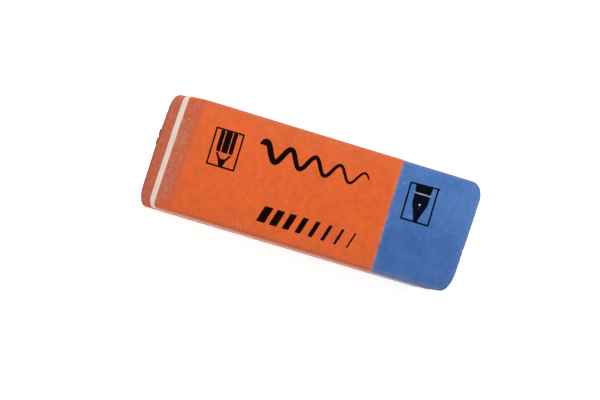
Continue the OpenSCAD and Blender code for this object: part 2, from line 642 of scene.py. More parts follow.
RED_TIP_DUST = (
    Stain("#d05824", 0.92, Mask.RUB, 0.1),
    Stain("#b04418", 0.5, Mask.RUB, 1.0, (1000, 500, 1000)),
    Stain("#c04e5c", 0.58, Mask.DUST, 1.0, (1000, 650, 1000)),
    Stain("#a87034", 0.36, Mask.DUST, 1.0, (1100, 850, 1100)),
    Stain("#dc9874", 0.26, Mask.DUST, 1.0, (3400, 2400, 3400)),
    Stain("#963608", 0.46, Mask.DUST, 1.0, (3200, 2200, 3200)),
    Stain("#7a4e44", 0.4, Mask.CREASE, 0.4),
    Stain("#6a4a3a", 0.6, Mask.TIP, 0.35, (900, 1500, 900)),
)
# Painted shade: the red darker towards the floor, and its top face darker towards the near long side
RED_FLOOR_SHADE_NEAR_DARKENING = (Stain("#80604f", 0.75, Mask.FLOOR_SHADE_NEAR_DARKENING, 0.35),)
RED_DARK_FLECKS = ((-8.25, -9.88), (-7.8, -9.82), (-11.2, -9.9), (-14.6, -9.92), (-17.5, -9.2))
RED_PALE_FLECKS = ((-10.2, -4.4), (-14.6, -5.7), (6.9, -0.1), (2.6, 8.1))
RED_MARKS = (
    *scratch_fan((-11.5, -8.9), (0.4, -1.0), (0.25, 0.0), 8, ("#e8906a", "#a04424"), 0.55),
    *scratch_fan((-10.5, -7.3), (0.3, -1.3), (0.36, 0.0), 4, ("#c85a30",), 0.4),
    *flecks("#6c3420", 0.7, 0.12, RED_DARK_FLECKS),
    *flecks("#f0a078", 0.5, 0.14, RED_PALE_FLECKS),
    Scratch("#7a5a78", 0.5, (1.7, 2.1), (2.0, 1.4), 0.12, 0.3),
    Scratch("#ec9468", 0.35, (-3.5, -2.9), (-2.2, -1.6), 0.09),
    Scratch("#c25428", 0.35, (6.4, -0.4), (7.7, 0.3), 0.09),
)
RED_UPPER = Finish(
    "red_rubber_upper",
    deep="#d85614",
    pale="#e86222",
    stains=RED_WEAR_SHADE_AND_SHEEN + RED_DUST + RED_FLOOR_SHADE_NEAR_DARKENING,
    specks=(Specks("#a8482a", 0.45, 1900, 0.03), Specks("#f0a080", 0.3, 1700, 0.03)),
    scratches=RED_MARKS,
)
# The lower red's wear, stains and dust, with its painted shade and painted sheen
RED_TIP_STAINS_SHADE_AND_SHEEN = RED_WEAR_SHADE_AND_SHEEN + RED_FLOOR_SHADE_NEAR_DARKENING + RED_TIP_DUST
RED_LOWER = replace(RED_UPPER, name="red_rubber_lower", stains=RED_TIP_STAINS_SHADE_AND_SHEEN, scratches=())
RED_CRUMB = Finish(
    "red_rubber_crumb", deep="#4c2010", pale="#94482a", patch=0.3, roughness=0.75, bump=0.6
)
# Wear and stains of the blue, with painted sheen towards the far side and painted shade towards the floor
BLUE_WEAR_SHADE_AND_SHEEN = (
    Stain("#4e74b4", 0.32, waves=(200, 200, 200)),
    Stain("#2f5796", 0.25, waves=(560, 560, 560)),
    Stain("#6484c0", 0.16, waves=(2200, 2200, 2200)),
    # Painted sheen: the blue's up-facing faces paler towards the far long side
    Stain("#80b0f4", 0.14, Mask.SHEEN_RAMP, 0.4, (900, 900, 900)),
    Stain("#a0946c", 0.48, Mask.FAR, 0.3),
    Stain("#8c94a8", 0.58, Mask.EDGE, 0.45, (1600, 900, 1600)),
    Stain("#5474ae", 0.5, Mask.RUB, 0.6, (1500, 400, 1500)),
    Stain("#7ea6e6", 0.4, Mask.TIP, 0.5, (1800, 1200, 900)),
    Stain("#a0b8e0", 0.35, Mask.SEAM, 0.7),
    Stain("#93a8d0", 0.4, Mask.BOND, 0.8),
    # Painted shade: the blue darker towards the floor, and its top face darker towards the near long side
    Stain("#6a7284", 0.65, Mask.FLOOR_SHADE_NEAR_DARKENING, 0.4),
)
BLUE_SOFT_FLECKS = ((17.95, 0.75), (15.3, 6.1))
BLUE_PALE_FLECKS = ((25.05, 0.17), (26.6, 0.14), (27.15, 0.12), (15.8, 6.6))
BLUE_DARK_FLECKS = ((17.2, -0.46), (21.8, -3.7), (16.4, 8.2))
BLUE_MARKS = (
    *flecks("#8cb0f0", 0.36, 0.26, BLUE_SOFT_FLECKS),
    *flecks("#a8bce4", 0.38, 0.12, BLUE_PALE_FLECKS),
    *flecks("#2a4480", 0.5, 0.12, BLUE_DARK_FLECKS),
    *flecks("#eeecf0", 0.7, 0.22, ((19.08, 3.22),)),
    Scratch("#d8ccd6", 0.5, (17.7, 5.1), (20.45, 5.13), 0.16, 0.5),
    Scratch("#9cb2dc", 0.26, (24.0, 0.2), (27.5, 0.12), 0.09, 0.9),
    Scratch("#8cb0f0", 0.24, (24.1, 4.6), (24.2, 4.0), 0.2),
    Scratch("#7f9ad0", 0.2, (23.9, -6.0), (24.2, -8.4)),
    Scratch("#7f9ad0", 0.25, (25.1, -5.2), (25.5, -9.0)),
    Scratch("#86a0d4", 0.2, (26.1, -4.4), (26.3, -7.4)),
)
BLUE_UPPER = Finish(
    "blue_rubber_upper",
    deep="#2b5899",
    pale="#3766aa",
    stains=BLUE_WEAR_SHADE_AND_SHEEN,
    specks=(Specks("#2a4a8c", 0.5, 1900, 0.03), Specks("#b4c8e8", 0.5, 1700, 0.03, 0.16)),
    scratches=BLUE_MARKS,
)
BLUE_LOWER = replace(BLUE_UPPER, name="blue_rubber_lower", scratches=())
WHITE_CORE = Finish(
    "white_rubber_core",
    deep="#ebcdc1",
    pale="#f3dad0",
    stains=(
        Stain("#e2ccbe", 0.4, waves=(700, 300, 700)),
        # Painted sheen: the core's up-facing faces greyer towards the far long side
        Stain("#d8d8c8", 0.45, Mask.SHEEN_RAMP, 0.3),
        Stain("#f0b49a", 0.2, Mask.BOND, 0.7, (900, 400, 900)),
        Stain("#d6beb0", 0.35, Mask.RUB, 1.0, (2200, 500, 2200)),
    ),
    specks=(Specks("#c09080", 0.5, 1900, 0.03),),
)
RED_INK = Finish(
    "black_ink_on_red",
    deep="#080201",
    pale="#140402",
    specks=(Specks("#8a3418", 0.4, 2600, 0.04, 0.3),),
    roughness=0.85,
    gloss=0.04,
)
BLUE_INK = replace(
    RED_INK,
    name="black_ink_on_blue",
    deep="#020208",
    pale="#070b1c",
    specks=(Specks("#2c4880", 0.4, 2600, 0.04, 0.3),),
)


# ---- The block's form ----


@dataclass(frozen=True)
class EndCut:
    """The plane of one slanted end, by where it meets the underside at mid width."""

    foot_x: float
    lean: float
    turn: float

    def x_at(self, y: np.ndarray, z: np.ndarray) -> np.ndarray:
        """Where the cut lies along the block at each width and height."""
        return self.foot_x + self.lean * z + math.tan(self.turn) * y

    def normal(self, outward: float) -> np.ndarray:
        """The plane's unit normal, towards -X where outward is -1."""
        n = np.array([1.0, -math.tan(self.turn), -self.lean]) * outward
        return n / np.linalg.norm(n)


@dataclass(frozen=True)
class Bite:
    """A place across the blue tip where a crumb has torn away."""

    y: float
    depth: float
    half_width: float


@dataclass(frozen=True)
class Dent:
    """A shallow hollow pressed into the printed face."""

    x: float
    y: float
    half_length: float
    half_width: float
    depth: float


EVERY_AXIS = {"use_axis_x": True, "use_axis_y": True, "use_axis_z": True}


@dataclass
class WornBlock:
    """The whole block before it is cut into its layers: a fine grid pressed onto the CAD's skin,
    with the small wear that the CAD leaves out.

    Each band is how far a kind of wear, stain, painted shade or painted sheen reaches. A pair that ends
    in facing, rise, depth, margin, y or z holds where something starts and where it is in full.
    """

    face_length: float = 52.1
    end_lean: float = 6.3
    red_turn: float = math.radians(1.6)
    blue_turn: float = math.radians(2.1)
    side_draft: float = 0.2
    cells: tuple[int, int, int] = (300, 190, 64)
    gather: Triple = (0.6, 0.35, 0.15)
    settle_passes: int = 8
    swell: Ripple = Ripple(0.022, 7.0, 3.1)
    pits: Ripple = Ripple(0.007, 0.9, 17.7)
    rub_pits: Ripple = Ripple(0.02, (0.45, 1.2, 0.45), 29.3)
    rub_pits_depth: Pair = (0.9, 0.1)
    edge_waves: Ripple = Ripple(0.5, 1.3, 41.9)
    edge_loss: float = 0.05
    edge_band: float = 0.45
    tears: Ripple = Ripple(0.075, 0.3, 53.3)
    tear_band: float = 0.6
    blue_tears: float = 0.15
    blue_tip_kept: float = 0.8
    stray: Ripple = Ripple(1.0, (1.6, 0.8, 1.6), 61.7)
    slant_skin: float = 0.035
    slant_facing: Pair = (0.3, 0.8)
    slant_rise: Pair = (0.9, 0.64)
    slant_stray: float = 0.06
    blue_rub: float = 0.5
    blue_rub_depth: Pair = (0.3, 0.05)
    dust_margin: Pair = (0.36, 1.26)
    margin_stray: float = 0.5
    # How far the dust and painted shade along the rubbed end's upper edge reach, and how much of them the
    # slant's dust hides
    ridge_dirt_and_shade_band: float = 0.38
    ridge_dusted: float = 0.75
    rim_z: Pair = (1.45, 0.85)
    rim_facing: Pair = (0.0, 0.35)
    blue_tip_band: float = 1.2
    seam_band: float = 0.25
    bond_band: float = 0.14
    crease_band: float = 0.25
    # How far the painted shade reaches up from the floor, and how strongly and how far the top face
    # darkens in from the near long side
    floor_shade_band: float = 2.2
    near_darkening: float = 0.24
    near_darkening_band: float = 1.7
    far_band: float = 0.38
    far_least_rise: float = 0.1
    # How far the painted sheen along the far long side reaches in
    far_sheen_band: float = 1.9
    # Where the painted sheen across the block starts and where it is in full
    sheen_ramp_y: Pair = (-6, 10)
    bites: tuple[Bite, ...] = (
        Bite(-2.45, 0.2, 0.22),
        Bite(-3.6, 0.1, 0.3),
        Bite(1.3, 0.06, 0.3),
        Bite(4.9, 0.07, 0.25),
    )
    bite_band: float = 0.5
    bite_height: float = 0.8
    dents: tuple[Dent, ...] = (
        Dent(-2.6, -2.4, 1.6, 0.5, 0.03),
        Dent(7.6, -1.2, 0.8, 1.3, 0.025),
        Dent(-19.5, 8.6, 1.2, 0.6, 0.04),
        Dent(23.8, -6.2, 1.0, 1.6, 0.03),
        Dent(2.0, 9.3, 1.4, 0.4, 0.04),
        Dent(-9.0, -9.4, 0.9, 0.35, 0.04),
    )

    def __post_init__(self) -> None:
        """Works out the six planes of the sharp block that the worn one lies in."""
        self.top = CAD_HIGH.z
        self.half_width = CAD_HIGH.y
        lean = self.end_lean / self.top
        tip = (self.face_length + self.end_lean) / 2
        self.red_cut = EndCut(-tip, lean, self.red_turn)
        self.blue_cut = EndCut(tip - self.end_lean, lean, self.blue_turn)
        self.seam_x = node_box("red_upper_layer")[1].x
        self.bonds = [corner.z for corner in node_box("white_core_layer")]

    def side_y(self, z: np.ndarray) -> np.ndarray:
        """How far each long side lies from mid width at height z."""
        return self.half_width - self.side_draft * z / self.top

    def plane_distances(self, points: np.ndarray) -> np.ndarray:
        """How deep each point lies under each plane of the sharp block.

        Args:
            points: Places in the row frame, one row each.

        Returns:
            One row for each plane: top, underside, far side, near side, red cut, blue cut.
        """
        x, y, z = points.T
        square_on = math.cos(math.atan(self.side_draft / self.top))
        red = (x - self.red_cut.x_at(y, z)) * abs(self.red_cut.normal(-1)[0])
        blue = (self.blue_cut.x_at(y, z) - x) * abs(self.blue_cut.normal(1)[0])
        side = self.side_y(z)
        return np.stack([self.top - z, z, (side - y) * square_on, (side + y) * square_on, red, blue])

    def grid(self) -> bmesh.types.BMesh:
        """A closed box of fine quads, stretched to the sharp block.

        Returns:
            The new bmesh.
        """
        bm = bmesh.new()
        bmesh.ops.create_cube(bm, size=2)
        for axis, cells in enumerate(self.cells):
            along = [e for e in bm.edges if abs(e.verts[0].co[axis] - e.verts[1].co[axis]) > 1]
            bmesh.ops.subdivide_edges(bm, edges=along, cuts=cells - 1)
        at = np.array([v.co for v in bm.verts], float)
        share = np.array(self.gather)
        at = at * (1 - share) + np.sin(at * math.pi / 2) * share
        z = (at[:, 2] + 1) / 2 * self.top
        y = at[:, 1] * self.side_y(z)
        red, blue = self.red_cut.x_at(y, z), self.blue_cut.x_at(y, z)
        x = red + (at[:, 0] + 1) / 2 * (blue - red)
        for v, place in zip(bm.verts, np.stack([x, y, z], 1).tolist()):
            v.co = place
        return bm

    def press(self, bm: bmesh.types.BMesh) -> None:
        """Moves the grid onto the skin of the CAD layers and settles its facets.

        Args:
            bm: The grid, which is changed.
        """
        skin = skin_of(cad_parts.values())
        for v in bm.verts:
            v.co = skin.find_nearest(v.co)[0]
        for _ in range(self.settle_passes):
            bmesh.ops.smooth_vert(bm, verts=bm.verts, factor=0.5, **EVERY_AXIS)

    def masks(self, at: np.ndarray, out: np.ndarray) -> dict[Mask, np.ndarray]:
        """Works out where each kind of wear, stain, painted shade and painted sheen lies.

        Args:
            at: The skin's points, one row each.
            out: The outward direction at each point.

        Returns:
            A value from 0 to 1 for each point, by mask.
        """
        planes = self.plane_distances(at)
        top, under, far, near, red, blue = planes
        edge_gap = np.partition(planes, 1, axis=0)[1]
        seam_gap = np.abs(at[:, 0] - self.seam_x)
        bond_gap = np.min(np.abs(at[:, 2:3] - np.array(self.bonds)), axis=1)
        rise = out[:, 2]
        faces_up = rise > FACES_UP
        stray = self.stray.at(at)
        rolled = ease(out @ self.red_cut.normal(-1), *self.slant_facing)
        rolled *= ease(rise + self.slant_stray * stray, *self.slant_rise)
        slant = np.maximum(ease(red, self.slant_skin, 0.0), rolled)
        margin = np.minimum(far, near) * (1 + self.margin_stray * stray)
        # Partly dust and graphite, partly painted shade, along the upper edge of the rubbed red end
        ridge = fade(red, self.ridge_dirt_and_shade_band) * (1 - self.ridge_dusted * slant) * (top < under)
        rim = ease(at[:, 2], *self.rim_z) * ease(-out[:, 0], *self.rim_facing) * (at[:, 0] < 0)
        # Painted shade, darkest at the floor, and the top face darker towards the near long side
        near_darkening = self.near_darkening * fade(near, self.near_darkening_band) * faces_up
        shade_and_darkening = np.maximum(fade(at[:, 2], self.floor_shade_band), near_darkening)
        return {
            Mask.EDGE: np.exp(-np.square(np.maximum(edge_gap, 0) / self.edge_band)),
            Mask.RUB: np.maximum(slant, self.blue_rub * ease(blue, *self.blue_rub_depth)),
            Mask.DUST: slant * ease(margin, *self.dust_margin),
            Mask.RIDGE_DIRT_AND_SHADE: ridge,
            Mask.FLOOR_SHADE_NEAR_DARKENING: shade_and_darkening * (1 - slant) * (rise > FACES_DOWN),
            Mask.TIP: np.maximum(rim, fade(blue + top, self.blue_tip_band)),
            Mask.SEAM: fade(seam_gap, self.seam_band),
            Mask.BOND: fade(bond_gap, self.bond_band),
            Mask.CREASE: fade(bond_gap, self.crease_band) * slant,
            # Painted sheen, growing across the block towards the far long side on up-facing faces
            Mask.SHEEN_RAMP: ease(at[:, 1], *self.sheen_ramp_y) * faces_up,
            Mask.FAR: fade(far, self.far_band) * (rise > self.far_least_rise),
            # Painted sheen along the far long side of the top face
            Mask.FAR_SHEEN: fade(far, self.far_sheen_band) * faces_up,
        }

    def worn(self, at: np.ndarray, out: np.ndarray, edge: np.ndarray) -> np.ndarray:
        """Adds the unevenness, the rubbed edges, the torn tips, the dents and the bites.

        Args:
            at: The skin's points, one row each.
            out: The outward direction at each point.
            edge: How near each point lies to an edge of the block, from 0 to 1.

        Returns:
            The points' new places.
        """
        top, under, _, _, red, blue = self.plane_distances(at)
        red_tip = fade(red + under / 2, self.tear_band)
        blue_tip = fade(blue + top, self.blue_tip_band)
        loss = self.edge_loss * edge * (self.edge_waves.reach + self.edge_waves.at(at))
        push = self.swell.at(at) + self.pits.at(at) * (1 + edge)
        push += self.rub_pits.at(at) * ease(red, *self.rub_pits_depth)
        push += self.tears.at(at) * np.maximum(red_tip, self.blue_tears * blue_tip)
        push -= loss * (1 - self.blue_tip_kept * blue_tip)
        for dent in self.dents:
            gap = np.square((at[:, 0] - dent.x) / dent.half_length)
            gap += np.square((at[:, 1] - dent.y) / dent.half_width)
            push -= dent.depth * np.exp(-gap) * (out[:, 2] > FACES_UP)
        at = at + out * push[:, None]
        for bite in self.bites:
            gap = np.square((at[:, 1] - bite.y) / bite.half_width)
            at[:, 0] -= bite.depth * np.exp(-gap - blue / self.bite_band - top / self.bite_height)
        at[:, 2] = np.maximum(at[:, 2], 0.0)
        return at

    def build(self) -> bmesh.types.BMesh:
        """Makes the worn block.

        Returns:
            A closed bmesh with the masks and its outward directions kept on its points.
        """
        bm = self.grid()
        self.press(bm)
        bm.normal_update()
        at = np.array([v.co for v in bm.verts], float)
        out = np.array([v.normal for v in bm.verts], float)
        masks = self.masks(at, out)
        for mask, values in masks.items():
            layer = bm.verts.layers.float.new(mask.value)
            for v, value in zip(bm.verts, values.tolist()):
                v[layer] = value
        out_layer = bm.verts.layers.float_vector.new(OUT_LAYER)
        worn = self.worn(at, out, masks[Mask.EDGE])
        for v, place, way in zip(bm.verts, worn.tolist(), out.tolist()):
            v.co = place
            v[out_layer] = way
        return bm


# A point this near a cut snaps to it, and one this near it is held in its plane
CUT_SNAP = 0.004
CUT_HOLD = 0.01
# A face with more corners than this closes a cut and is shaded flat
SKIN_CORNERS = 5


@dataclass(frozen=True)
class Layer:
    """One bonded slab of rubber, cut from the worn block where the CAD's layers part.

    low and high are heights and from_x and to_x places along the block, or None at the outside.
    sink is how far its own wear has taken its skin below its neighbours', and far_sink what the
    far long side has lost besides.
    """

    node: str
    compound: Compound
    finish: Finish
    low: Optional[float] = None
    high: Optional[float] = None
    from_x: Optional[float] = None
    to_x: Optional[float] = None
    sink: float = 0.0
    far_sink: float = 0.0
    rim_sink: float = 0.02

    def planes(self) -> list[tuple[Vector, Vector]]:
        """The cuts that bound this layer.

        Returns:
            A point on each cut and its outward normal.
        """
        found = []
        for place, normal in (
            (self.low, Vector((0, 0, -1))),
            (self.high, Vector((0, 0, 1))),
            (self.from_x, Vector((-1, 0, 0))),
            (self.to_x, Vector((1, 0, 0))),
        ):
            if place is not None:
                found.append((normal * place * sum(normal), normal))
        return found

    def cut(self, block: bmesh.types.BMesh) -> bmesh.types.BMesh:
        """Cuts this layer from a copy of the block and closes it.

        Args:
            block: The worn block, which is left as it is.

        Returns:
            The layer's closed bmesh.
        """
        bm = block.copy()
        for point, normal in self.planes():
            cut = bmesh.ops.bisect_plane(
                bm,
                geom=bm.verts[:] + bm.edges[:] + bm.faces[:],
                dist=CUT_SNAP,
                plane_co=point,
                plane_no=normal,
                use_snap_center=True,
                clear_outer=True,
            )
            rim = [g for g in cut["geom_cut"] if isinstance(g, bmesh.types.BMEdge)]
            bmesh.ops.edgeloop_fill(bm, edges=[e for e in rim if e.is_boundary])
        self.sink_skin(bm)
        bm.verts.layers.float_vector.remove(bm.verts.layers.float_vector[OUT_LAYER])
        for face in bm.faces:
            face.smooth = len(face.verts) <= SKIN_CORNERS
        for edge in bm.edges:
            if edge.is_manifold and edge.link_faces[0].smooth != edge.link_faces[1].smooth:
                edge.smooth = False
        bmesh.ops.recalc_face_normals(bm, faces=bm.faces)
        return bm

    def sink_skin(self, bm: bmesh.types.BMesh) -> None:
        """Draws the layer's skin in, while its cut faces stay in their planes.

        Args:
            bm: The cut layer, which is changed.
        """
        out_layer = bm.verts.layers.float_vector[OUT_LAYER]
        planes = self.planes()
        for v in bm.verts:
            way = Vector(v[out_layer])
            step = way * -(self.sink * (1 - abs(way.x)) + self.far_sink * max(way.y, 0.0) ** 2)
            if v.co.z + step.z < 0 or way.z < FACES_DOWN:
                step.z = max(step.z, -v.co.z) if step.z < 0 else 0.0
            for point, normal in planes:
                if abs((v.co - point).dot(normal)) < CUT_HOLD:
                    step -= way * self.rim_sink
                    step -= normal * step.dot(normal)
            v.co += step


@dataclass(frozen=True)
class Crumb:
    """A lump of rolled rubber, by the place on the tip where it clings and half its size."""

    y: float
    z: float
    half_size: Triple
    turn: float


@dataclass
class TipCrumbs:
    """The rolled lumps of rubbed rubber that still cling to the red tip."""

    crumbs: tuple[Crumb, ...] = (
        Crumb(3.2, 0.46, (0.16, 0.4, 0.17), 0.25),
        Crumb(2.72, 0.44, (0.12, 0.55, 0.14), 0.14),
        Crumb(1.66, 0.44, (0.14, 0.36, 0.15), 0.12),
        Crumb(1.2, 0.46, (0.13, 0.44, 0.15), 0.08),
    )
    finish: Finish = RED_CRUMB
    detail: int = 4
    lumpy: float = 0.28
    lump_size: float = 0.9
    lump_seed: float = 40.0

    def build(self, skin: BVHTree, effects: Effects) -> bpy.types.Object:
        """Makes the lumps, each pressed against the tip.

        Args:
            skin: The block's outer skin.
            effects: The shared effects.

        Returns:
            One piece that holds every lump.
        """
        bm = bmesh.new()
        for crumb in self.crumbs:
            outside = Vector((CAD_LOW.x - 1, crumb.y, crumb.z))
            place = skin.ray_cast(outside, Vector((1, 0, 0)))[0]
            seed = Vector((self.lump_seed * crumb.y, 0, 0))
            turn = Matrix.Rotation(crumb.turn, 3, "Z")
            made = bmesh.ops.create_icosphere(bm, subdivisions=self.detail, radius=1)
            for v in made["verts"]:
                stray = noise.noise(v.co / self.lump_size + seed)
                half = Vector([size * v.co[axis] for axis, size in enumerate(crumb.half_size)])
                v.co = place + turn @ half * (1 + self.lumpy * stray)
                v.co.z = max(v.co.z, 0.0)
        for face in bm.faces:
            face.smooth = True
        bmesh.ops.recalc_face_normals(bm, faces=bm.faces)
        piece = link_mesh("tip_crumbs", bm)
        piece.data.materials.append(self.finish.material(effects))
        return piece


# ---- The print ----


def rounded(corners: Sequence[Point], radius: float, steps: int = 5) -> Loop:
    """A closed outline with each corner turned by a soft curve.

    Args:
        corners: The sharp outline, in order.
        radius: How far from each corner its curve starts, at most half of the side.
        steps: Segments to each curve.

    Returns:
        The outline's points.
    """
    loop: Loop = []
    for i, corner in enumerate(corners):
        here = Vector(corner)
        before, after = Vector(corners[i - 1]), Vector(corners[(i + 1) % len(corners)])
        start = here + (before - here).normalized() * min(radius, (before - here).length / 2)
        end = here + (after - here).normalized() * min(radius, (after - here).length / 2)
        for k in range(steps + 1):
            t = k / steps
            p = start * (1 - t) ** 2 + here * 2 * t * (1 - t) + end * t * t
            loop.append((p.x, p.y))
    return loop


def circle(centre: Point, radius: float, steps: int = 20) -> Loop:
    """A round outline."""
    turns = (2 * math.pi * k / steps for k in range(steps))
    return [(centre[0] + radius * math.cos(a), centre[1] + radius * math.sin(a)) for a in turns]


def mirrored(middle: float, corners: Sequence[Pair]) -> Loop:
    """An outline with two like sides: down its right side, then up its left one.

    Args:
        middle: Where the line between the sides lies.
        corners: The height and the half width of each corner, from the top down.

    Returns:
        The outline's points.
    """
    right = [(middle + wide, y) for y, wide in corners]
    left = [(middle - wide, y) for y, wide in reversed(corners)]
    return right + left


def box_loop(low: Point, high: Point, radius: float) -> Loop:
    """A rectangle's outline with soft corners."""
    return rounded([low, (high[0], low[1]), high, (low[0], high[1])], radius)


@dataclass
class Mark:
    """A printed mark, as inked areas that lie on the block's top face.

    Each area is its outline, followed by the outlines of the holes in it, from the mark's own
    lower left corner.
    """

    name: str
    corner: Point
    finish: Finish
    thickness: float = 0.012
    overlap: float = 0.03
    ragged: float = 0.022
    ragged_size: float = 0.3
    step: float = 0.14
    widest: float = 0.7

    def areas(self) -> list[list[Loop]]:
        """The mark's inked areas, which each kind of mark gives for itself."""
        raise NotImplementedError

    def fill(self, bm: bmesh.types.BMesh, loops: Sequence[Loop]) -> None:
        """Fills one area, with its rim split finely enough for a ragged print edge.

        Args:
            bm: Where the area's faces go.
            loops: The area's outline and its holes.
        """
        rim = []
        for loop in loops:
            ring = [bm.verts.new((self.corner[0] + x, self.corner[1] + y, 0)) for x, y in loop]
            rim += [bm.edges.new((a, b)) for a, b in zip(ring, ring[1:] + ring[:1]) if a is not b]
        while long := [e for e in rim if e.calc_length() > self.step]:
            new = bmesh.ops.subdivide_edges(bm, edges=long, cuts=1)["geom_inner"]
            rim += [e for v in new if isinstance(v, bmesh.types.BMVert) for e in v.link_edges]
            rim = list(dict.fromkeys(e for e in rim if e.is_valid))
        bmesh.ops.triangle_fill(bm, use_beauty=True, use_dissolve=False, edges=rim, normal=(0, 0, 1))

    def build(self, skin: BVHTree, effects: Effects) -> bpy.types.Object:
        """Makes the mark, laid on the block.

        Args:
            skin: The finished top layers, to lie on.
            effects: The shared effects.

        Returns:
            The printed mark.
        """
        bm = bmesh.new()
        for loops in self.areas():
            part = bmesh.new()
            self.fill(part, loops)
            mesh = bpy.data.meshes.new("part")
            part.to_mesh(mesh)
            part.free()
            bm.from_mesh(mesh)
            bpy.data.meshes.remove(mesh)
        while long := [e for e in bm.edges if not e.is_boundary and e.calc_length() > self.widest]:
            bmesh.ops.subdivide_edges(bm, edges=long, cuts=1)
            bmesh.ops.triangulate(bm, faces=bm.faces)
        for v in bm.verts:
            if v.is_boundary:
                shake = noise.noise_vector(v.co / self.ragged_size) * self.ragged
                v.co += Vector((shake.x, shake.y, 0))
        bmesh.ops.recalc_face_normals(bm, faces=bm.faces)
        if sum(f.normal.z for f in bm.faces) < 0:
            bmesh.ops.reverse_faces(bm, faces=bm.faces)
        raised = bmesh.ops.extrude_face_region(bm, geom=bm.faces[:])["geom"]
        upper = {g for g in raised if isinstance(g, bmesh.types.BMVert)}
        down, above = Vector((0, 0, -1)), CAD_HIGH.z + 1
        for v in bm.verts:
            hit = skin.ray_cast(Vector((v.co.x, v.co.y, above)), down)[0]
            v.co.z = hit.z + (self.thickness if v in upper else -self.overlap)
        bmesh.ops.recalc_face_normals(bm, faces=bm.faces)
        piece = link_mesh(self.name, bm)
        piece.data.materials.append(self.finish.material(effects))
        return piece


@dataclass
class FramedMark(Mark):
    """A pictogram in a thin upright frame, with a little room to be out of true.

    top_rise is how much further up the frame's right corner stands than its left one, overrun how
    far its top line runs on past that corner, and shift how far right of its middle the pictogram
    stands.
    """

    width: float = 5.21
    height: float = 6.83
    line: float = 0.31
    outer_round: float = 0.16
    inner_round: float = 0.08
    top_rise: float = 0.0
    overrun: float = 0.0
    shift: float = -0.05

    def frame(self) -> list[Loop]:
        """The frame's line.

        Returns:
            Its outline and the hole in it.
        """
        w, h, line, rise = self.width, self.height, self.line, self.top_rise
        beyond = w + self.overrun
        under = h + rise - line
        outer = [(0, 0), (w, 0), (w, h + rise), (0, h)]
        if self.overrun:
            outer[2:3] = [(w, under), (beyond, under), (beyond, h + rise)]
        inner = [(line, line), (w - line, line), (w - line, under), (line, h - line)]
        return [rounded(outer, self.outer_round), rounded(inner, self.inner_round)]


@dataclass
class PencilMark(FramedMark):
    """A sharpened pencil, point down, for the end that rubs out pencil.

    cone holds the height and the half width of each corner of the cut wood's outer edge, from the
    barrel down, and hollow does the same for the bare wood inside it.
    """

    side_bar: float = 0.76
    middle_bar: float = 1.16
    gap: float = 0.175
    foot: float = 2.68
    bar_round: float = 0.24
    cone: tuple[Pair, ...] = ((2.48, 1.45), (1.42, 0.76), (0.25, 0.36))
    hollow: tuple[Pair, ...] = ((2.48, 1.06), (1.6, 0.44))
    wood_round: float = 0.1

    def areas(self) -> list[list[Loop]]:
        """Draws the pencil in its frame.

        Returns:
            The frame, the barrel's three sides, and the cut wood's edges with the lead.
        """
        middle, top = self.width / 2 + self.shift, self.height - self.line
        found = [self.frame()]
        for side in (-1, 0, 1):
            x = middle + side * ((self.middle_bar + self.side_bar) / 2 + self.gap)
            half = (self.side_bar if side else self.middle_bar) / 2
            found.append([box_loop((x - half, self.foot), (x + half, top), self.bar_round)])
        wood = mirrored(middle, self.cone) + mirrored(middle, self.hollow)[::-1]
        found.append([rounded(wood, self.wood_round)])
        return found


@dataclass
class NibMark(FramedMark):
    """A fountain pen's nib under its collar, point down, for the end that rubs out ink.

    sides holds the height and the half width of each corner of the nib, from its top down.
    """

    width: float = 5.24
    height: float = 6.85
    top_rise: float = 0.18
    overrun: float = 0.16
    shift: float = 0.06
    ragged: float = 0.014
    collar_half: float = 1.5
    collar_foot: float = 5.33
    collar_taper: float = 0.1
    collar_round: float = 0.08
    sides: tuple[Pair, ...] = (
        (5.08, 1.42),
        (3.6, 1.4),
        (2.99, 1.25),
        (1.93, 0.86),
        (0.7, 0.44),
        (0.25, 0.41),
    )
    side_round: float = 0.1
    hole_y: float = 3.31
    hole_r: float = 0.18
    slit: float = 0.045
    slit_y: Pair = (3.05, 2.4)

    def areas(self) -> list[list[Loop]]:
        """Draws the nib in its frame.

        Returns:
            The frame, the collar, and the nib with its breather hole and slit.
        """
        middle, top = self.width / 2 + self.shift, self.height - self.line
        half, foot = self.collar_half, self.collar_foot
        narrow = half - self.collar_taper
        collar = [
            (middle - narrow, foot),
            (middle + narrow, foot),
            (middle + half, top + self.top_rise),
            (middle - half - self.collar_taper, top + self.line / 2),
        ]
        slit = mirrored(middle, [(y, self.slit / 2) for y in self.slit_y])
        nib = rounded(mirrored(middle, self.sides), self.side_round)
        return [
            self.frame(),
            [rounded(collar, self.collar_round)],
            [nib, circle((middle, self.hole_y), self.hole_r), slit],
        ]


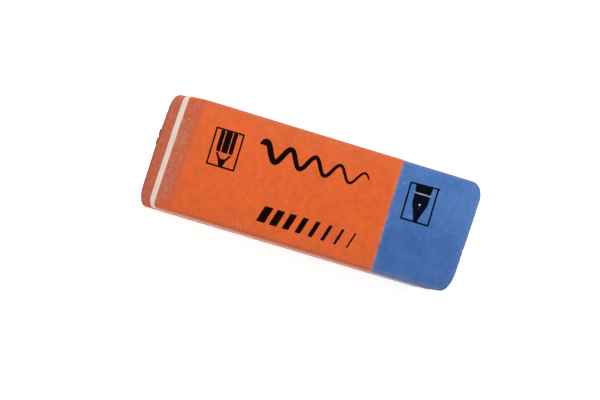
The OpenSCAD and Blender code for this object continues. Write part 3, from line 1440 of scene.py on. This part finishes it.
@dataclass
class StrokeMark(Mark):
    """A bold wavy pencil stroke that thins towards its end.

    calm is the share of the waves' height that is lost along it, and start_round and end_round
    are the shares of its length over which its ends swell to their full width.
    """

    length: float = 20.4
    height: float = 4.3
    waves: float = 4.5
    calm: float = 0.25
    thick: float = 1.15
    thin: float = 0.35
    start_round: float = 0.04
    end_round: float = 0.025
    steps: int = 150

    def areas(self) -> list[list[Loop]]:
        """Draws the stroke from its middle line and its width along it.

        Returns:
            One area, with the stroke's outline.
        """
        upper: Loop = []
        lower: Loop = []
        turns = 2 * math.pi * self.waves
        for i in range(self.steps + 1):
            t = i / self.steps
            rise = (self.height - self.thick) / 2 * (1 - self.calm * t)
            half = (self.thick * (1 - t) + self.thin * t) / 2
            half *= math.sqrt(min(1, t / self.start_round, (1 - t) / self.end_round))
            x, y = self.length * t, self.height / 2 + rise * math.sin(turns * t)
            along = Vector((self.length, rise * turns * math.cos(turns * t))).normalized()
            upper.append((x - along.y * half, y + along.x * half))
            lower.append((x + along.y * half, y - along.x * half))
        return [[upper[1:-1] + lower[-2:0:-1]]]


@dataclass
class BarsMark(Mark):
    """A row of leaning bars, each thinner than the one before, as if being rubbed out."""

    length: float = 17.6
    height: float = 2.95
    skew: float = 0.85
    count: int = 8
    thick: float = 1.55
    thin: float = 0.3
    corner_round: float = 0.12

    def areas(self) -> list[list[Loop]]:
        """Draws the bars.

        Returns:
            One area for each bar.
        """
        pitch = (self.length - self.skew - self.thin) / (self.count - 1)
        found = []
        for i in range(self.count):
            wide = self.thick + (self.thin - self.thick) * i / (self.count - 1)
            x = i * pitch
            foot = [(x, 0), (x + wide, 0)]
            head = [(x + wide + self.skew, self.height), (x + self.skew, self.height)]
            found.append([rounded(foot + head, self.corner_round)])
        return found


# ---- The eraser, put together ----


@dataclass
class Eraser:
    """The worn block's five bonded layers, what clings to its tip, and the print on its top."""

    blue_sink: float = 0.03
    blue_far_sink: float = 0.015
    white_sink: float = -0.05

    def layers(self) -> list[Layer]:
        """The layers, parted where the CAD's nodes are.

        Returns:
            The five layers.
        """
        seam = node_box("red_upper_layer")[1].x
        core_low, core_high = (corner.z for corner in node_box("white_core_layer"))
        blue = {"from_x": seam, "sink": self.blue_sink, "far_sink": self.blue_far_sink}
        white = {"high": core_high, "sink": self.white_sink}
        return [
            Layer("red_upper_layer", Compound.RED, RED_UPPER, low=core_high, to_x=seam),
            Layer("blue_upper_layer", Compound.BLUE, BLUE_UPPER, low=core_high, **blue),
            Layer("white_core_layer", Compound.WHITE, WHITE_CORE, low=core_low, **white),
            Layer("red_lower_layer", Compound.RED, RED_LOWER, high=core_low, to_x=seam),
            Layer("blue_lower_layer", Compound.BLUE, BLUE_LOWER, high=core_low, **blue),
        ]

    def marks(self) -> list[Mark]:
        """The print on the top face.

        Returns:
            The four printed marks.
        """
        return [
            PencilMark("pencil_print", (-19.01, -0.59), RED_INK),
            NibMark("nib_print", (16.39, -0.09), BLUE_INK),
            StrokeMark("stroke_print", (-10.9, 2.45), RED_INK),
            BarsMark("bars_print", (-7.7, -7.7), RED_INK),
        ]

    def build(self, effects: Effects) -> None:
        """Makes every piece, dresses it and puts it on its body.

        Args:
            effects: The shared effects.
        """
        block = WornBlock().build()
        LOG.info("worn block: %d faces", len(block.faces))
        slabs = []
        for layer in self.layers():
            piece = link_mesh(layer.node + "_worn", layer.cut(block))
            piece.data.materials.append(layer.finish.material(effects))
            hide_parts(layer.node)
            self.place(piece, layer.compound)
            slabs.append(piece)
        block.free()
        skin = skin_of(slabs)
        self.place(TipCrumbs().build(skin, effects), Compound.RED)
        for mark in self.marks():
            self.place(mark.build(skin, effects), Compound.INK)

    def place(self, piece: bpy.types.Object, compound: Compound) -> None:
        """Puts a piece on the eraser's body and reports it.

        Args:
            piece: The piece.
            compound: What it is made of; not used.
        """
        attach(piece, BODY)
        LOG.info("%s: %d faces", piece.name, len(piece.data.polygons))


# ---- The studio ----


@dataclass(frozen=True)
class Lamp:
    """A soft oblong lamp that points at the eraser, with its power in watts."""

    name: str
    place: Triple
    size: Pair
    power: float


@dataclass
class Studio:
    """The pale floor, the soft light and the camera."""

    floor_half: float = 1500
    floor_tone: float = 0.8
    floor_lift: float = 0.7
    sky: float = 0.32
    lamps: tuple[Lamp, ...] = (
        Lamp("key_lamp", (0, 100, 110), (260, 50), 0.24),
        Lamp("near_lamp", (-50, -280, 75), (240, 100), 0.26),
        Lamp("left_lamp", (-250, 40, 130), (200, 160), 0.13),
    )
    lens: float = 171.08
    sensor: float = 36
    nearest_seen: float = 10
    distance: float = 500
    tilt: float = math.radians(4.34)
    roll: float = math.radians(16.65)
    aim: Triple = (-1.295, -2.0, 8.0)

    def seen(self, sheet: NodeSheet) -> object:
        """Tells what the camera sees from what only lights the scene.

        Args:
            sheet: The sheet that takes the nodes.

        Returns:
            1 on rays from the camera, and on the reflected or refracted ones that follow.
        """
        path = sheet.add("LightPath")
        mirrored = sheet.maths("ADD", path.outputs["Is Glossy Ray"], path.outputs["Is Transmission Ray"])
        return sheet.maths("ADD", path.outputs["Is Camera Ray"], mirrored)

    def build_floor(self) -> None:
        """Lays a pale floor that shows as white paper and keeps the eraser's shadow."""
        bm = bmesh.new()
        bmesh.ops.create_grid(bm, x_segments=2, y_segments=2, size=self.floor_half)
        floor = link_mesh("floor", bm)
        mat = bpy.data.materials.new("paper_floor")
        mat.use_nodes = True
        sheet = NodeSheet(mat.node_tree)
        paper = sheet.add("BsdfDiffuse", {"Color": (self.floor_tone,) * 3 + (1,)})
        strength = sheet.maths("MULTIPLY", self.seen(sheet), self.floor_lift)
        lift = sheet.add("Emission", {"Strength": strength})
        both = sheet.add("AddShader", {0: paper.outputs[0], 1: lift.outputs[0]})
        sheet.add("OutputMaterial", {"Surface": both.outputs[0]})
        floor.data.materials.append(mat)

    def build_sky(self) -> None:
        """Lights the scene evenly, with a white backdrop for the camera."""
        world = bpy.data.worlds.new("studio_sky")
        world.use_nodes = True
        sheet = NodeSheet(world.node_tree)
        strength = sheet.span(self.seen(sheet), 0, 1, self.sky)
        sky = sheet.add("Background", {"Color": (1, 1, 1, 1), "Strength": strength})
        sheet.add("OutputWorld", {"Surface": sky.outputs[0]})
        bpy.context.scene.world = world

    def build_lamps(self) -> None:
        """Hangs the lamps, each turned to the eraser."""
        target = Vector((0, 0, CAD_HIGH.z / 2))
        for lamp in self.lamps:
            light = bpy.data.lights.new(lamp.name, "AREA")
            light.shape = "RECTANGLE"
            light.size, light.size_y = (side * MM for side in lamp.size)
            light.energy = lamp.power
            place = Vector(lamp.place)
            holder = bpy.data.objects.new(lamp.name, light)
            bpy.context.scene.collection.objects.link(holder)
            holder.location = place * MM
            holder.rotation_euler = (target - place).to_track_quat("-Z", "Y").to_euler()
            holder.visible_camera = False

    def build_camera(self) -> None:
        """Sets the camera nearly overhead, tilted towards the near side and rolled."""
        back = Vector((0, -math.tan(self.tilt), 1)).normalized()
        right = Vector((0, 1, 0)).cross(back).normalized()
        up = back.cross(right)
        turned_right = right * math.cos(self.roll) + up * math.sin(self.roll)
        turned_up = up * math.cos(self.roll) - right * math.sin(self.roll)
        camera_data = bpy.data.cameras.new("studio_camera")
        camera_data.lens = self.lens
        camera_data.sensor_width = self.sensor
        camera_data.clip_start = self.nearest_seen * MM
        camera = bpy.data.objects.new("studio_camera", camera_data)
        bpy.context.scene.collection.objects.link(camera)
        turn = Matrix((turned_right, turned_up, back)).transposed().to_4x4()
        place = Vector(self.aim) + back * self.distance
        camera.matrix_world = Matrix.Translation(place * MM) @ turn
        bpy.context.scene.camera = camera

    def build(self) -> None:
        """Sets up the whole studio."""
        bpy.context.scene.view_settings.view_transform = "Standard"
        self.build_floor()
        self.build_sky()
        self.build_lamps()
        self.build_camera()


def main() -> None:
    """Builds the studio and the eraser."""
    logging.basicConfig(level=logging.INFO, format="%(message)s")
    Studio().build()
    Eraser().build(Effects.build())


if __name__ == "__main__":
    main()
